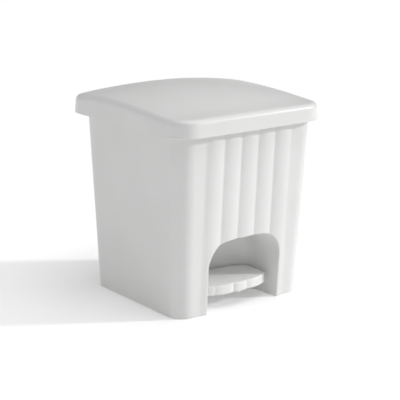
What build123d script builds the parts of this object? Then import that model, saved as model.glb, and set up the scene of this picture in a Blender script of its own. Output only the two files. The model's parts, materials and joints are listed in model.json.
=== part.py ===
from build123d import *
import math
import os

# Pedal bin: tapered outer body with a foot niche, hinged lid, pedal lever, lift rod and inner bucket.
# Frame: millimetres, +Z up, -Y towards the user, origin on the ground below the middle of the lid.

# Lid
LID_WIDTH = 230.0
LID_DEPTH = 237.6
LID_CORNER_R = 31.0
LID_RIM_Z = 224.0
LID_EDGE_Z = 244.2
LID_FRONT_BOW = 1.4
LID_FLARE = 0.079
LID_WALL = 2.2
LID_SIDE_ARCH = 6.0
LID_REAR_ARCH = 6.2
LID_REAR_DROP = 2.6
LID_CROWN = 10.8
LID_OPEN_DEG = 70.0

# Outer body
BODY_Y = -5.2
BODY_HEIGHT = 238.0
BODY_LIFT = 0.8
BASE_HALF_X = 98.0
BASE_HALF_Y = 89.8
BASE_CORNER_R = 21.0
TAPER_X = 0.0379
TAPER_Y = 0.0504
TAPER_R = 0.0134
BODY_WALL = 2.2
FLOOR_Z = 46.0
FLOOR_THICKNESS = 2.0

# Flutes on the front face
FLUTE_COUNT = 5
FLUTE_PITCH = 26.0
FLUTE_RISE = 2.3
FLUTE_BLEND_R = 10.0

# Foot niche
NICHE_HALF_WIDTH = 55.6
NICHE_HEIGHT = 89.0
NICHE_CORNER_R = 31.0
NICHE_TOP_SAG = 3.0
NICHE_NARROWING = 0.117
NICHE_CEILING_FALL = 0.09
NICHE_REAR_R = 96.0
NICHE_REAR_Y = -31.5
NICHE_REAR_TILT = 4.0
NICHE_BLEND_R = 12.0
HOOD_WALL = 2.0
LEVER_SLOT_HALF_X = 23.6
LEVER_SLOT_Z = 31.5

# Foot pads and their posts
POST_X = 84.0
POST_Y = 75.0
POST_R = 8.0
PAD_THICKNESS = 1.6
PAD_STEM_R = 5.0

# Lid hinge and crank
HINGE_Y = 103.8
HINGE_Z = 233.0
HINGE_X = 62.0
HINGE_PIN_R = 2.0
EAR_THICKNESS = 6.0
LUG_THICKNESS = 3.0
CRANK_R = 18.0
PIN_R = 1.5
CHEEK_THICKNESS = 2.5
CHEEK_GAP = 7.2
SCREW_X = (-12.0, 12.0)
LEVER_SCREW_Y = 80.0
LEVER_PLATE_Z = (243.6, 246.0)
SCREW_BORE_R = 1.25

# Rubber stops under the lid
BUFFER_X = (-60.0, 60.0)
BUFFER_Y = -105.2
BUFFER_TOP_Z = 240.2
BUFFER_STEM_R = 1.6

# Pedal lever
PIVOT_Y = -27.2
PIVOT_Z = 16.0
AXLE_R = 2.5
LEVER_REAR_ARM = 103.6
BARREL_R = 5.5
BARREL_HALF_X = 23.5
BOSS_INNER_X = 24.0
BOSS_THICKNESS = 4.0
AXLE_HALF_X = 31.0
CLIP_INNER_X = 28.2
CLIP_THICKNESS = 1.0
ARM_THICKNESS = 3.0
TREAD_HALF_X = 46.5
TREAD_TOP_Z = 30.5
TREAD_RIM = 12.0
TREAD_WALL = 2.2
TREAD_SLOPE_DEG = 2.9
TREAD_SLOPE_Y = -85.0
TREAD_REAR_GAP = 2.5
TREAD_CORNER_R = 11.0
SCALLOP_Y = -86.5
SCALLOP_INNER_X = 10.7
SCALLOP_OUTER_X = 37.0
SCALLOP_RISE = 2.2
SCALLOP_SETBACK = 3.2
SHOULDER_SETBACK = 8.1

# Lift rod
ROD_R = 1.5
ROD_BEHIND_PIN = 2.2
BLOCK_THICKNESS = 6.6
SLOT_HALF_HEIGHT = 1.85
GUIDE_HEIGHTS = (85.0, 185.0)
GUIDE_HALF_X = 8.0
GUIDE_RIB = 2.0
ROD_LOW_Z = 21.5
ROD_BELOW_PIN = 3.5

# Inner bucket
BUCKET_RIM_Z = 214.0
BUCKET_WALL = 1.8
BUCKET_SIDE_GAP = 5.0
BUCKET_REAR_GAP = 17.0
BUCKET_STEP_Y = -26.0
BUCKET_STEP_Z = 98.0
BUCKET_CORNER_R = 22.0
BUCKET_FLANGE = 3.0
BAIL_R = 1.5
BAIL_PIVOT_Z = 218.5
BAIL_HALF_X = 101.6
BAIL_REACH = 86.0
GRIP_HALF_X = 38.0

# Clearances
RUNNING_FIT = 0.05
SIDE_GAP = 0.3

WALL_TILT = math.degrees(math.atan(TAPER_Y))
HALF_SWING = math.radians(LID_OPEN_DEG / 2)
CRANK_PIN_Y = HINGE_Y - CRANK_R * math.cos(HALF_SWING)
CRANK_PIN_Z = HINGE_Z - CRANK_R * math.sin(HALF_SWING)
ROD_TRAVEL = 2 * CRANK_R * math.sin(HALF_SWING) / math.cos(math.radians(WALL_TILT))
ROD_HIGH_Z = CRANK_PIN_Z - ROD_BELOW_PIN
REAR_PIN_Y = PIVOT_Y + LEVER_REAR_ARM


def rear_inside(z):
    """Y of the outer body's rear wall, inside face, at height z."""
    return BODY_Y + BASE_HALF_Y + TAPER_Y * z - BODY_WALL


def rod_y(z):
    """Y of the lift rod's centre line at height z."""
    return CRANK_PIN_Y - ROD_BEHIND_PIN + (z - CRANK_PIN_Z) * TAPER_Y


def rod_frame(z):
    """Location on the rod's centre line at height z, with its Z axis along the rod."""
    return Pos(0, rod_y(z), z) * Rot(-WALL_TILT, 0, 0)


def side_plane(x):
    """Sketch plane at x, with its first axis along +Y and its second along +Z."""
    return Plane(origin=(x, 0, 0), x_dir=(0, 1, 0), z_dir=(1, 0, 0))


def x_rod(radius, x_low, x_high, y, z):
    """Round bar along X."""
    circle = side_plane(x_low) * Pos(y, z) * Circle(radius)
    return extrude(circle, amount=x_high - x_low)


def side_plate(points, x_low, x_high):
    """Flat plate of a given side outline, as (y, z) points, between two x values."""
    outline = make_face(Polyline(*points, close=True))
    return extrude(side_plane(x_low) * outline, amount=x_high - x_low)


def arm_plate(low, high, r_low, r_high, x_low, x_high):
    """Plate shaped as the hull of two circles, centred on the (y, z) points low and high."""
    circles = [Pos(*low) * Circle(r_low), Pos(*high) * Circle(r_high)]
    outline = make_hull(circles[0].edges() + circles[1].edges())
    return extrude(side_plane(x_low) * outline, amount=x_high - x_low)


def block(x, y, z):
    """Box between the (low, high) pairs x, y and z."""
    size = (x[1] - x[0], y[1] - y[0], z[1] - z[0])
    return Pos(x[0], y[0], z[0]) * Box(*size, align=(Align.MIN, Align.MIN, Align.MIN))


def cylinder(radius, x, y, z_low, z_high):
    """Upright cylinder between two heights."""
    base = (Align.CENTER, Align.CENTER, Align.MIN)
    return Pos(x, y, z_low) * Cylinder(radius, z_high - z_low, align=base)


# ---- Outer body ------------------------------------------------------------------------------


def body_outline(z, inset):
    half_x = BASE_HALF_X + TAPER_X * z - inset
    half_y = BASE_HALF_Y + TAPER_Y * z - inset
    radius = BASE_CORNER_R + TAPER_R * z - inset
    return Pos(0, BODY_Y, z) * RectangleRounded(2 * half_x, 2 * half_y, radius)


def body_block(z_low, z_high, inset=0.0):
    """The tapered outline of the outer body between two heights."""
    return loft([body_outline(z_low, inset), body_outline(z_high, inset)])


def flutes(shift):
    """Five rounded flutes up the front face; shift moves them back through the wall."""
    y = BODY_Y - BASE_HALF_Y + shift
    half = FLUTE_COUNT * FLUTE_PITCH / 2
    arcs = []
    for i in range(FLUTE_COUNT):
        x = -half + i * FLUTE_PITCH
        middle = (x + FLUTE_PITCH / 2, y - FLUTE_RISE)
        arcs.append(ThreePointArc((x, y), middle, (x + FLUTE_PITCH, y)))
    wide = half + 6.0
    back = Polyline((half, y), (wide, y), (wide, y + 1), (-wide, y + 1), (-wide, y), (-half, y))
    profile = make_face(arcs + back.edges())
    corners = [v for v in profile.vertices() if abs(abs(v.X) - half) < 0.01]
    profile = fillet(corners, FLUTE_BLEND_R)
    along = Vector(0, -TAPER_Y, 1)
    return extrude(profile, amount=BODY_HEIGHT * along.length, dir=along.normalized())


def niche_arch(y, half_width, height, corner_r):
    """Arched outline of the foot niche, upright at y."""
    low = -5.0
    shoulder = height - NICHE_TOP_SAG
    top = ThreePointArc((-half_width, shoulder), (0, height), (half_width, shoulder))
    left, right = (-half_width, shoulder), (half_width, shoulder)
    sides = Polyline(right, (half_width, low), (-half_width, low), left)
    face = make_face(top.edges() + sides.edges())
    face = fillet([v for v in face.vertices() if v.Y > low + 1], corner_r)
    return Plane(origin=(0, y, 0), x_dir=(1, 0, 0), z_dir=(0, -1, 0)) * face


def niche_space(grow=0.0):
    """The hollow for the foot and the pedal, enlarged all round by grow."""
    face_y = BODY_Y - BASE_HALF_Y
    sections = []
    for y in (face_y + 75.0, face_y - 15.0):
        inward = y - face_y
        half_width = NICHE_HALF_WIDTH - NICHE_NARROWING * inward + grow
        height = NICHE_HEIGHT - NICHE_CEILING_FALL * inward + grow
        sections.append(niche_arch(y, half_width, height, NICHE_CORNER_R + grow))
    tunnel = loft(sections)
    radius = NICHE_REAR_R + grow
    post = Cylinder(radius, 400.0)
    rear = Pos(0, BODY_Y + NICHE_REAR_Y - NICHE_REAR_R, 33.0) * Rot(-NICHE_REAR_TILT, 0, 0) * post
    space = tunnel & rear
    curved = [f for f in space.faces() if f.geom_type == GeomType.CYLINDER]
    wall = [f for f in curved if abs(f.radius - radius) < 0.01][0]
    edges = [e for e in wall.edges() if e.center().Z > 0]
    return fillet(edges, NICHE_BLEND_R + grow)


def pivot_bosses():
    """Pair of plates under the floor that hold the pedal's axle."""
    bosses = []
    top = FLOOR_Z - FLOOR_THICKNESS
    for x in (-BOSS_INNER_X - BOSS_THICKNESS, BOSS_INNER_X):
        plate = arm_plate((PIVOT_Y, PIVOT_Z), (PIVOT_Y + 4, top), 6.5, 9.0, x, x + BOSS_THICKNESS)
        bosses.append(plate & block((-40, 40), (-50, 0), (0, top + 0.5)))
    return bosses


def foot_posts(radius, z_low, z_high):
    posts = []
    for x in (-1, 1):
        for y in (-1, 1):
            posts.append(cylinder(radius, x * POST_X, BODY_Y + y * POST_Y, z_low, z_high))
    return posts


def hinge_ears():
    """Two ears on the rear wall, bored for the hinge pins."""
    ears = []
    for side in (-1, 1):
        x_low = side * HINGE_X - EAR_THICKNESS / 2
        wall_y = rear_inside(HINGE_Z) + 1.0
        outline = [(wall_y, 221.0), (HINGE_Y, HINGE_Z - 5.5), (HINGE_Y, HINGE_Z + 5.5), (wall_y, 238.0)]
        ear = side_plate(outline, x_low, x_low + EAR_THICKNESS)
        ear += x_rod(5.5, x_low, x_low + EAR_THICKNESS, HINGE_Y, HINGE_Z)
        ears.append(ear)
    return ears


def guide_rails():
    """Pairs of ribs on the rear wall that the rod guides are pushed between."""
    rails = []
    for z in GUIDE_HEIGHTS:
        for x in (-GUIDE_HALF_X - GUIDE_RIB, GUIDE_HALF_X):
            rib = block((x, x + GUIDE_RIB), (3.0, 7.5), (-6.0, 6.0))
            rails.append(rod_frame(z) * rib)
    return rails


def make_outer_body():
    between = block((-90, 90), (-140, 0), (BODY_LIFT, BODY_HEIGHT))
    shell = body_block(BODY_LIFT, BODY_HEIGHT) + (flutes(0.0) & between)
    hollow = body_block(-1.0, BODY_HEIGHT + 1.0, BODY_WALL) + flutes(BODY_WALL)
    floor = body_block(FLOOR_Z - FLOOR_THICKNESS, FLOOR_Z, BODY_WALL - 0.5)
    hood = niche_space(HOOD_WALL) & body_block(BODY_LIFT, BODY_HEIGHT, 0.5)
    body = shell - hollow + floor + hood
    body += foot_posts(POST_R, PAD_THICKNESS, FLOOR_Z - 1.0)
    body += pivot_bosses()
    body += hinge_ears()
    body += guide_rails()
    body -= niche_space()
    body -= foot_posts(PAD_STEM_R, -1.0, 12.0)
    slot = LEVER_SLOT_HALF_X
    rear_y = BODY_Y + NICHE_REAR_Y
    body -= block((-slot, slot), (rear_y - 12, rear_y + 20), (-5, LEVER_SLOT_Z))
    rod_floor = rod_y(FLOOR_Z)
    body -= block((-11, 11), (rod_floor - 9, rod_floor + 6), (20, FLOOR_Z + 5))
    body -= x_rod(AXLE_R, -40, 40, PIVOT_Y, PIVOT_Z)
    body -= x_rod(HINGE_PIN_R + RUNNING_FIT, -90, 90, HINGE_Y, HINGE_Z)
    return body


def make_foot_pads():
    """Four rubber feet pushed into the corner posts."""
    discs = foot_posts(POST_R, 0.0, PAD_THICKNESS)
    stems = foot_posts(PAD_STEM_R, PAD_THICKNESS - 0.6, 8.0)
    return Compound(children=[disc + stem for disc, stem in zip(discs, stems)])


# ---- Lid -------------------------------------------------------------------------------------


def lid_outline(z, inset):
    """Rounded square with a slightly bowed front edge; the skirt widens downwards."""
    inset = inset + LID_FLARE * (z - LID_RIM_Z)
    half_x = LID_WIDTH / 2 - inset
    half_y = LID_DEPTH / 2 - inset
    side_front = -half_y + LID_FRONT_BOW
    front = ThreePointArc((-half_x, side_front), (0, -half_y), (half_x, side_front))
    rest = Polyline((half_x, side_front), (half_x, half_y), (-half_x, half_y), (-half_x, side_front))
    face = make_face(front.edges() + rest.edges())
    return Pos(0, 0, z) * fillet(face.vertices(), LID_CORNER_R - inset)


def crown_height(x, y):
    """Height of the lid's top surface: flat along the front edge, arched over the sides and the rear."""
    u = 2 * x / LID_WIDTH
    v = 2 * y / LID_DEPTH
    side = max(LID_SIDE_ARCH * (1 - ((v - 0.3) / 1.04) ** 2), 0.0)
    if v > 0.3:
        side = LID_SIDE_ARCH - (LID_SIDE_ARCH + LID_REAR_DROP) * ((v - 0.3) / 0.7) ** 2
    fall = LID_CROWN * ((v - 0.15) / 1.15) ** 2
    if v > 0.15:
        fall = (LID_CROWN - LID_REAR_ARCH) * ((v - 0.15) / 0.85) ** 2
    return LID_EDGE_Z + side + (LID_CROWN - fall) * (1 - u * u)


def under_crown(drop):
    """Everything below the lid's top surface, lowered by drop."""
    reach = 126.0
    steps = 18
    rows = []
    for i in range(steps + 1):
        x = -reach + 2 * reach * i / steps
        row = []
        for j in range(steps + 1):
            y = -reach + 2 * reach * j / steps
            clamped = (max(-115, min(115, x)), max(-118.8, min(118.8, y)))
            row.append((x, y, crown_height(*clamped) - drop))
        rows.append(row)
    top = Face.make_surface_from_array_of_points(rows)
    return extrude(top, amount=60.0, dir=(0, 0, -1))


def lid_block(z_low, z_high, inset, drop):
    skirt = loft([lid_outline(z_low, inset), lid_outline(z_high, inset)])
    return skirt & under_crown(drop)


def hinge_lugs():
    """Two pairs of lugs that carry the hinge pins on either side of the body's ears."""
    lugs = []
    for side in (-1, 1):
        for offset in (-1, 1):
            centre = side * HINGE_X + offset * (EAR_THICKNESS / 2 + SIDE_GAP + LUG_THICKNESS / 2)
            x_low = centre - LUG_THICKNESS / 2
            lug = arm_plate((HINGE_Y, HINGE_Z), (HINGE_Y, 262.0), 5.0, 7.0, x_low, x_low + LUG_THICKNESS)
            lugs.append(lug)
    return lugs


def make_lid():
    outer = lid_block(LID_RIM_Z, 272.0, 0.0, 0.0)
    hollow = lid_block(LID_RIM_Z - 1, 272.0, LID_WALL, LID_WALL)
    fittings = hinge_lugs()
    for x in SCREW_X:
        fittings.append(cylinder(4.0, x, LEVER_SCREW_Y, LEVER_PLATE_Z[1], 270.0))
    for x in BUFFER_X:
        fittings.append(cylinder(5.0, x, BUFFER_Y, BUFFER_TOP_Z, 270.0))
    lid = outer - hollow
    within = lid_block(LID_RIM_Z, 272.0, 1.0, 1.0)
    for fitting in fittings:
        lid += fitting & within
    lid -= x_rod(HINGE_PIN_R, -90, 90, HINGE_Y, HINGE_Z)
    for x in SCREW_X:
        lid -= cylinder(SCREW_BORE_R, x, LEVER_SCREW_Y, LEVER_PLATE_Z[1] - 1, LEVER_PLATE_Z[1] + 6)
    for x in BUFFER_X:
        lid -= cylinder(BUFFER_STEM_R, x, BUFFER_Y, BUFFER_TOP_Z - 1, BUFFER_TOP_Z + 1.6)
    return lid


def make_buffer(x):
    """Rubber stop under the lid that meets the body's front rim."""
    pad = cylinder(4.0, x, BUFFER_Y, BODY_HEIGHT + 0.2, BUFFER_TOP_Z)
    stem = cylinder(BUFFER_STEM_R, x, BUFFER_Y, BUFFER_TOP_Z, BUFFER_TOP_Z + 1.6)
    return pad + stem


def make_hinge_pin(side):
    reach = EAR_THICKNESS / 2 + SIDE_GAP + LUG_THICKNESS + 0.5
    centre = side * HINGE_X
    return x_rod(HINGE_PIN_R, centre - reach, centre + reach, HINGE_Y, HINGE_Z)


# ---- Lid lever, its screws and the crank pin ---------------------------------------------------


def make_lid_lever():
    """Plate screwed under the lid, with two cheeks that hold the crank pin."""
    lever = block((-17, 17), (74, 94), LEVER_PLATE_Z)
    for x in (-CHEEK_GAP / 2 - CHEEK_THICKNESS, CHEEK_GAP / 2):
        pin, root = (CRANK_PIN_Y, CRANK_PIN_Z), (CRANK_PIN_Y - 2.5, LEVER_PLATE_Z[0] - 0.6)
        cheek = arm_plate(pin, root, 3.3, 5.5, x, x + CHEEK_THICKNESS)
        lever += cheek & block((-20, 20), (70, 98), (200, LEVER_PLATE_Z[1]))
    lever -= x_rod(PIN_R, -20, 20, CRANK_PIN_Y, CRANK_PIN_Z)
    for x in SCREW_X:
        lever -= cylinder(1.7, x, LEVER_SCREW_Y, 240, 250)
    return lever


def make_lever_screws():
    screws = []
    for x in SCREW_X:
        head = cylinder(3.0, x, LEVER_SCREW_Y, LEVER_PLATE_Z[0] - 2.0, LEVER_PLATE_Z[0])
        head -= block((x - 2, x + 2), (LEVER_SCREW_Y - 0.4, LEVER_SCREW_Y + 0.4), (240, 242.5))
        shank = cylinder(SCREW_BORE_R, x, LEVER_SCREW_Y, LEVER_PLATE_Z[0], LEVER_PLATE_Z[1] + 6)
        screws.append(head + shank)
    return Compound(children=screws)


def make_crank_pin():
    reach = CHEEK_GAP / 2 + CHEEK_THICKNESS + 0.5
    return x_rod(PIN_R, -reach, reach, CRANK_PIN_Y, CRANK_PIN_Z)


# ---- Lift rod, its head, foot and guides -------------------------------------------------------


def slotted_block(pin_y, pin_z, ahead, behind, below, above):
    """Plastic end block with a slot that lets a pin move fore and aft; ahead is the slot's reach."""
    half = BLOCK_THICKNESS / 2
    wall = 2.0
    outline = (pin_y - ahead - wall, pin_y + behind + wall - 0.25)
    body = block((-half, half), outline, (pin_z - below, pin_z + above))
    edges = body.edges().filter_by(Axis.X)
    body = fillet(edges, 1.5)
    front = pin_y - ahead + SLOT_HALF_HEIGHT
    rear = pin_y + behind - SLOT_HALF_HEIGHT
    wide = half + 1
    radii = (SLOT_HALF_HEIGHT, SLOT_HALF_HEIGHT - 0.001)
    return body - arm_plate((front, pin_z), (rear, pin_z), *radii, -wide, wide)


def rod_bar(z_low, z_high, radius):
    """Round bar along the rod's centre line between two heights."""
    length = (z_high - z_low) / math.cos(math.radians(WALL_TILT))
    base = (Align.CENTER, Align.CENTER, Align.MIN)
    return rod_frame(z_low) * Cylinder(radius, length, align=base)


def make_rod_head():
    head = slotted_block(CRANK_PIN_Y, CRANK_PIN_Z, 6.0, 1.9, 10.0, 4.0)
    return head - rod_bar(CRANK_PIN_Z - 12, ROD_HIGH_Z, ROD_R)


def make_rod_foot():
    foot = slotted_block(REAR_PIN_Y, PIVOT_Z, 5.4, 2.3, 4.2, 13.0)
    return foot - rod_bar(ROD_LOW_Z, 40, ROD_R)


def make_lift_rod():
    return rod_bar(ROD_LOW_Z, ROD_HIGH_Z, ROD_R)


def make_rod_guide(z):
    """Plastic guide for the rod, held between two ribs on the rear wall."""
    wall = (rear_inside(z) - rod_y(z)) * math.cos(math.radians(WALL_TILT))
    guide = block((-GUIDE_HALF_X, GUIDE_HALF_X), (-4.5, wall), (-4.5, 4.5))
    guide = fillet(guide.edges().filter_by(Axis.Z).group_by(Axis.Y)[0], 3.0)
    guide -= Cylinder(ROD_R + RUNNING_FIT, 20)
    return rod_frame(z) * guide


# ---- Pedal lever -------------------------------------------------------------------------------


def tread_outline(inset):
    """Plan of the tread: a scalloped front edge, splayed sides and a rear edge that follows the niche."""
    side = TREAD_HALF_X - inset
    front = BODY_Y + SCALLOP_Y + inset
    inner, outer = SCALLOP_INNER_X, SCALLOP_OUTER_X
    shoulder = (side, front + SHOULDER_SETBACK)
    turn = ((outer + side) / 2 + 0.5, front + (SCALLOP_SETBACK + SHOULDER_SETBACK) / 2 - 0.7)
    knots = [(-outer, SCALLOP_SETBACK), (-inner, 0.0), (inner, 0.0), (outer, SCALLOP_SETBACK)]
    first = (-outer, front + SCALLOP_SETBACK)
    last = (outer, front + SCALLOP_SETBACK)
    edge = [ThreePointArc((-shoulder[0], shoulder[1]), (-turn[0], turn[1]), first)]
    for (x1, d1), (x2, d2) in zip(knots, knots[1:]):
        middle = ((x1 + x2) / 2, front + (d1 + d2) / 2 - SCALLOP_RISE)
        edge.append(ThreePointArc((x1, front + d1), middle, (x2, front + d2)))
    edge.append(ThreePointArc(last, turn, shoulder))
    sides = Polyline(shoulder, (side + 1, -10.0), (-side - 1, -10.0), (-shoulder[0], shoulder[1]))
    plan = make_face(edge + sides.edges())
    plan &= Pos(0, BODY_Y + NICHE_REAR_Y - NICHE_REAR_R) * Circle(NICHE_REAR_R - TREAD_REAR_GAP - inset)
    corners = [v for v in plan.vertices() if v.Y > -60.0]
    return fillet(corners, TREAD_CORNER_R - inset)


def make_tread():
    top_z = TREAD_TOP_Z + 8.0
    bottom_z = TREAD_TOP_Z - TREAD_RIM
    solid = extrude(Pos(0, 0, bottom_z) * tread_outline(0.0), amount=top_z - bottom_z)
    pocket = extrude(Pos(0, 0, bottom_z - 1) * tread_outline(TREAD_WALL), amount=top_z - bottom_z)
    slope = Pos(0, BODY_Y + TREAD_SLOPE_Y, TREAD_TOP_Z) * Rot(TREAD_SLOPE_DEG, 0, 0)
    above = slope * block((-80, 80), (-20, 120), (0, 30))
    solid -= above
    top_edges = solid.faces().sort_by(Axis.Z)[-1].edges()
    solid = fillet(top_edges, 1.0)
    pocket -= slope * block((-80, 80), (-20, 120), (-2.5, 30))
    return solid - pocket


def lever_arm(x_low):
    """One of the two arms that carry the tread on the axle barrel."""
    low = [(-70.0, TREAD_TOP_Z - 6.5), (-36.0, PIVOT_Z - 4.5), (PIVOT_Y, PIVOT_Z - 5.0)]
    high = [(PIVOT_Y, PIVOT_Z + 5.0), (-38.0, TREAD_TOP_Z), (-70.0, TREAD_TOP_Z - 0.5)]
    return side_plate(low + high, x_low, x_low + ARM_THICKNESS)


def make_pedal_lever():
    """Tread, two arms through the niche wall, axle barrel and rear fork, moulded in one piece."""
    lever = make_tread()
    front_y = BODY_Y + SCALLOP_Y + 1.5
    lever += block((-1.2, 1.2), (front_y, -40.0), (TREAD_TOP_Z - 14.8, TREAD_TOP_Z - 1))
    arm_x = BARREL_HALF_X - 2.5
    lever += lever_arm(-arm_x)
    lever += lever_arm(arm_x - ARM_THICKNESS)
    lever += x_rod(BARREL_R, -BARREL_HALF_X, BARREL_HALF_X, PIVOT_Y, PIVOT_Z)
    fork = CHEEK_GAP / 2
    pin, root = (REAR_PIN_Y, PIVOT_Z), (PIVOT_Y, PIVOT_Z)
    for x in (-fork - ARM_THICKNESS, fork):
        lever += arm_plate(pin, root, 4.0, 5.0, x, x + ARM_THICKNESS)
    web_z = (PIVOT_Z - 3.5, PIVOT_Z - 1.0)
    lever += block((-fork - 1, fork + 1), (PIVOT_Y, REAR_PIN_Y - 14.0), web_z)
    lever -= x_rod(AXLE_R + RUNNING_FIT, -40, 40, PIVOT_Y, PIVOT_Z)
    lever -= x_rod(PIN_R, -20, 20, REAR_PIN_Y, PIVOT_Z)
    return lever


def make_pedal_axle():
    return x_rod(AXLE_R, -AXLE_HALF_X, AXLE_HALF_X, PIVOT_Y, PIVOT_Z)


def make_axle_clip(side):
    """Push-on retaining ring on one end of the axle."""
    x_low = CLIP_INNER_X if side > 0 else -CLIP_INNER_X - CLIP_THICKNESS
    ring = x_rod(BARREL_R, x_low, x_low + CLIP_THICKNESS, PIVOT_Y, PIVOT_Z)
    return ring - x_rod(AXLE_R, x_low - 1, x_low + 2, PIVOT_Y, PIVOT_Z)


def make_rear_pin():
    reach = CHEEK_GAP / 2 + ARM_THICKNESS + 0.5
    return x_rod(PIN_R, -reach, reach, REAR_PIN_Y, PIVOT_Z)


# ---- Inner bucket and its bail -----------------------------------------------------------------


def bucket_outline(z, inset):
    """Plan of the bucket at height z, drawn inwards by inset."""
    gap = BODY_WALL + BUCKET_SIDE_GAP + inset
    half_x = BASE_HALF_X + TAPER_X * z - gap
    front = BODY_Y - BASE_HALF_Y - TAPER_Y * z + gap
    rear = rear_inside(z) - BUCKET_REAR_GAP - inset
    radius = BUCKET_CORNER_R - inset
    return Pos(0, (front + rear) / 2, z) * RectangleRounded(2 * half_x, rear - front, radius)


def bucket_block(z_low, z_high, inset):
    """Tapered block with the front cut back below the step, to clear the foot niche."""
    solid = loft([bucket_outline(z_low, inset), bucket_outline(z_high, inset)])
    step = block((-150, 150), (-150, BODY_Y + BUCKET_STEP_Y + inset), (0, BUCKET_STEP_Z + inset))
    solid -= step
    return solid


def make_inner_bucket():
    outer = bucket_block(FLOOR_Z, BUCKET_RIM_Z, 0.0)
    inner = bucket_block(FLOOR_Z + BUCKET_WALL, BUCKET_RIM_Z + 5, BUCKET_WALL)
    edge = [bucket_outline(z, -BUCKET_FLANGE) for z in (BUCKET_RIM_Z - 2, BUCKET_RIM_Z)]
    flange = loft(edge)
    bucket = outer + flange
    for side in (-1, 1):
        bucket += bail_ear(side)
    bucket -= inner
    bucket -= x_rod(BAIL_R + RUNNING_FIT, -110, 110, BODY_Y, BAIL_PIVOT_Z)
    return bucket


def bail_ear(side):
    """Lug on the bucket's rim that holds one end of the bail."""
    thickness = 2.2
    centre = side * (BAIL_HALF_X - 2.9)
    x_low = centre - thickness / 2
    lug = arm_plate((BODY_Y, BUCKET_RIM_Z), (BODY_Y, BAIL_PIVOT_Z), 7.0, 4.0, x_low, x_low + thickness)
    return lug & block((-120, 120), (-20, 20), (BUCKET_RIM_Z - 1, 230))


def make_bucket_bail():
    """Wire handle: two hooked ends, two arms and a front bar, lying on the bucket's rim."""
    half = BAIL_HALF_X
    front = BODY_Y - BAIL_REACH
    front_z = BUCKET_RIM_Z + 2.2
    tip = 5.0
    points = [
        (-half + tip, BODY_Y, BAIL_PIVOT_Z),
        (-half, BODY_Y, BAIL_PIVOT_Z),
        (-half, front, front_z),
        (half, front, front_z),
        (half, BODY_Y, BAIL_PIVOT_Z),
        (half - tip, BODY_Y, BAIL_PIVOT_Z),
    ]
    path = FilletPolyline(*points, radius=[2.0, 26.0, 26.0, 2.0])
    section = Plane(origin=path @ 0, z_dir=path % 0) * Circle(BAIL_R)
    return sweep(section, path=path)


def make_bail_grip():
    """Plastic sleeve around the middle of the bail."""
    front = BODY_Y - BAIL_REACH
    front_z = BUCKET_RIM_Z + 2.2
    grip = x_rod(3.6, -GRIP_HALF_X, GRIP_HALF_X, front, front_z)
    grip = fillet(grip.edges(), 1.2)
    return grip - x_rod(BAIL_R, -40, 40, front, front_z)


# ---- Write every node --------------------------------------------------------------------------

NODES = {
    "outer_body": make_outer_body(),
    "foot_pads": make_foot_pads(),
    "inner_bucket": make_inner_bucket(),
    "bucket_bail": make_bucket_bail(),
    "bail_grip": make_bail_grip(),
    "lid": make_lid(),
    "lid_buffer_left": make_buffer(BUFFER_X[0]),
    "lid_buffer_right": make_buffer(BUFFER_X[1]),
    "hinge_pin_left": make_hinge_pin(-1),
    "hinge_pin_right": make_hinge_pin(1),
    "lid_lever": make_lid_lever(),
    "lid_lever_screws": make_lever_screws(),
    "crank_pin": make_crank_pin(),
    "lift_rod": make_lift_rod(),
    "rod_head": make_rod_head(),
    "rod_foot": make_rod_foot(),
    "rod_guide_lower": make_rod_guide(GUIDE_HEIGHTS[0]),
    "rod_guide_upper": make_rod_guide(GUIDE_HEIGHTS[1]),
    "pedal_lever": make_pedal_lever(),
    "pedal_axle": make_pedal_axle(),
    "axle_clip_left": make_axle_clip(-1),
    "axle_clip_right": make_axle_clip(1),
    "pedal_rear_pin": make_rear_pin(),
}

os.makedirs("parts", exist_ok=True)
for name, shape in NODES.items():
    export_step(shape, f"parts/{name}.step")
    print(f"{name}: {shape.volume:.0f} mm3, {len(shape.solids())} solid(s)")
print(f"rod travel {ROD_TRAVEL:.3f} mm")
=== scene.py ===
import json
import math
import bmesh
import bpy
import numpy as np
from mathutils import Matrix, Vector


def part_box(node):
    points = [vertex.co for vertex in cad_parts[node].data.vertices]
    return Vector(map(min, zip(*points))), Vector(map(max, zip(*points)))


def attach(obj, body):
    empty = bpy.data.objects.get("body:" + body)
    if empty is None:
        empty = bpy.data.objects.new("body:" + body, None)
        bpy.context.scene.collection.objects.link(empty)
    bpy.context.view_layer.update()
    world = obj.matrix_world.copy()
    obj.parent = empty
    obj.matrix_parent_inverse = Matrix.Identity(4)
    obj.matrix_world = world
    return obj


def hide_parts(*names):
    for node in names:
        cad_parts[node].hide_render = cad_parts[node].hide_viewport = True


# Looks of the pedal bin. Shapes are worked out in millimetres in the row frame and written in metres.

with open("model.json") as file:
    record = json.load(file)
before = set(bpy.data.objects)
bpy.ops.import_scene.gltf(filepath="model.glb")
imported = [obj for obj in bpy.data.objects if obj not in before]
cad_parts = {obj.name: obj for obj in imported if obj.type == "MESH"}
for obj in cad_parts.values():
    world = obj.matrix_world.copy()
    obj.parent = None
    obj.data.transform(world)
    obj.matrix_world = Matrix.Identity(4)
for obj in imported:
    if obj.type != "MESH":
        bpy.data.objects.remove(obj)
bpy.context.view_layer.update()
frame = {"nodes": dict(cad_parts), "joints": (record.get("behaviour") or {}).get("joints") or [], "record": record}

MM = 0.001


def span(node):
    """Lowest and highest corner of a CAD node, in millimetres."""
    low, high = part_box(node)
    return np.array(low) / MM, np.array(high) / MM


lid_low, lid_high = span("lid")
body_low, body_high = span("outer_body")
joints = {j["name"]: j for j in frame["joints"]}
hinge_y, hinge_z = (c / MM for c in joints["lid_hinge"]["pos_m"][1:])
pivot_y, pivot_z = (c / MM for c in joints["pedal_pivot"]["pos_m"][1:])

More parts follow.
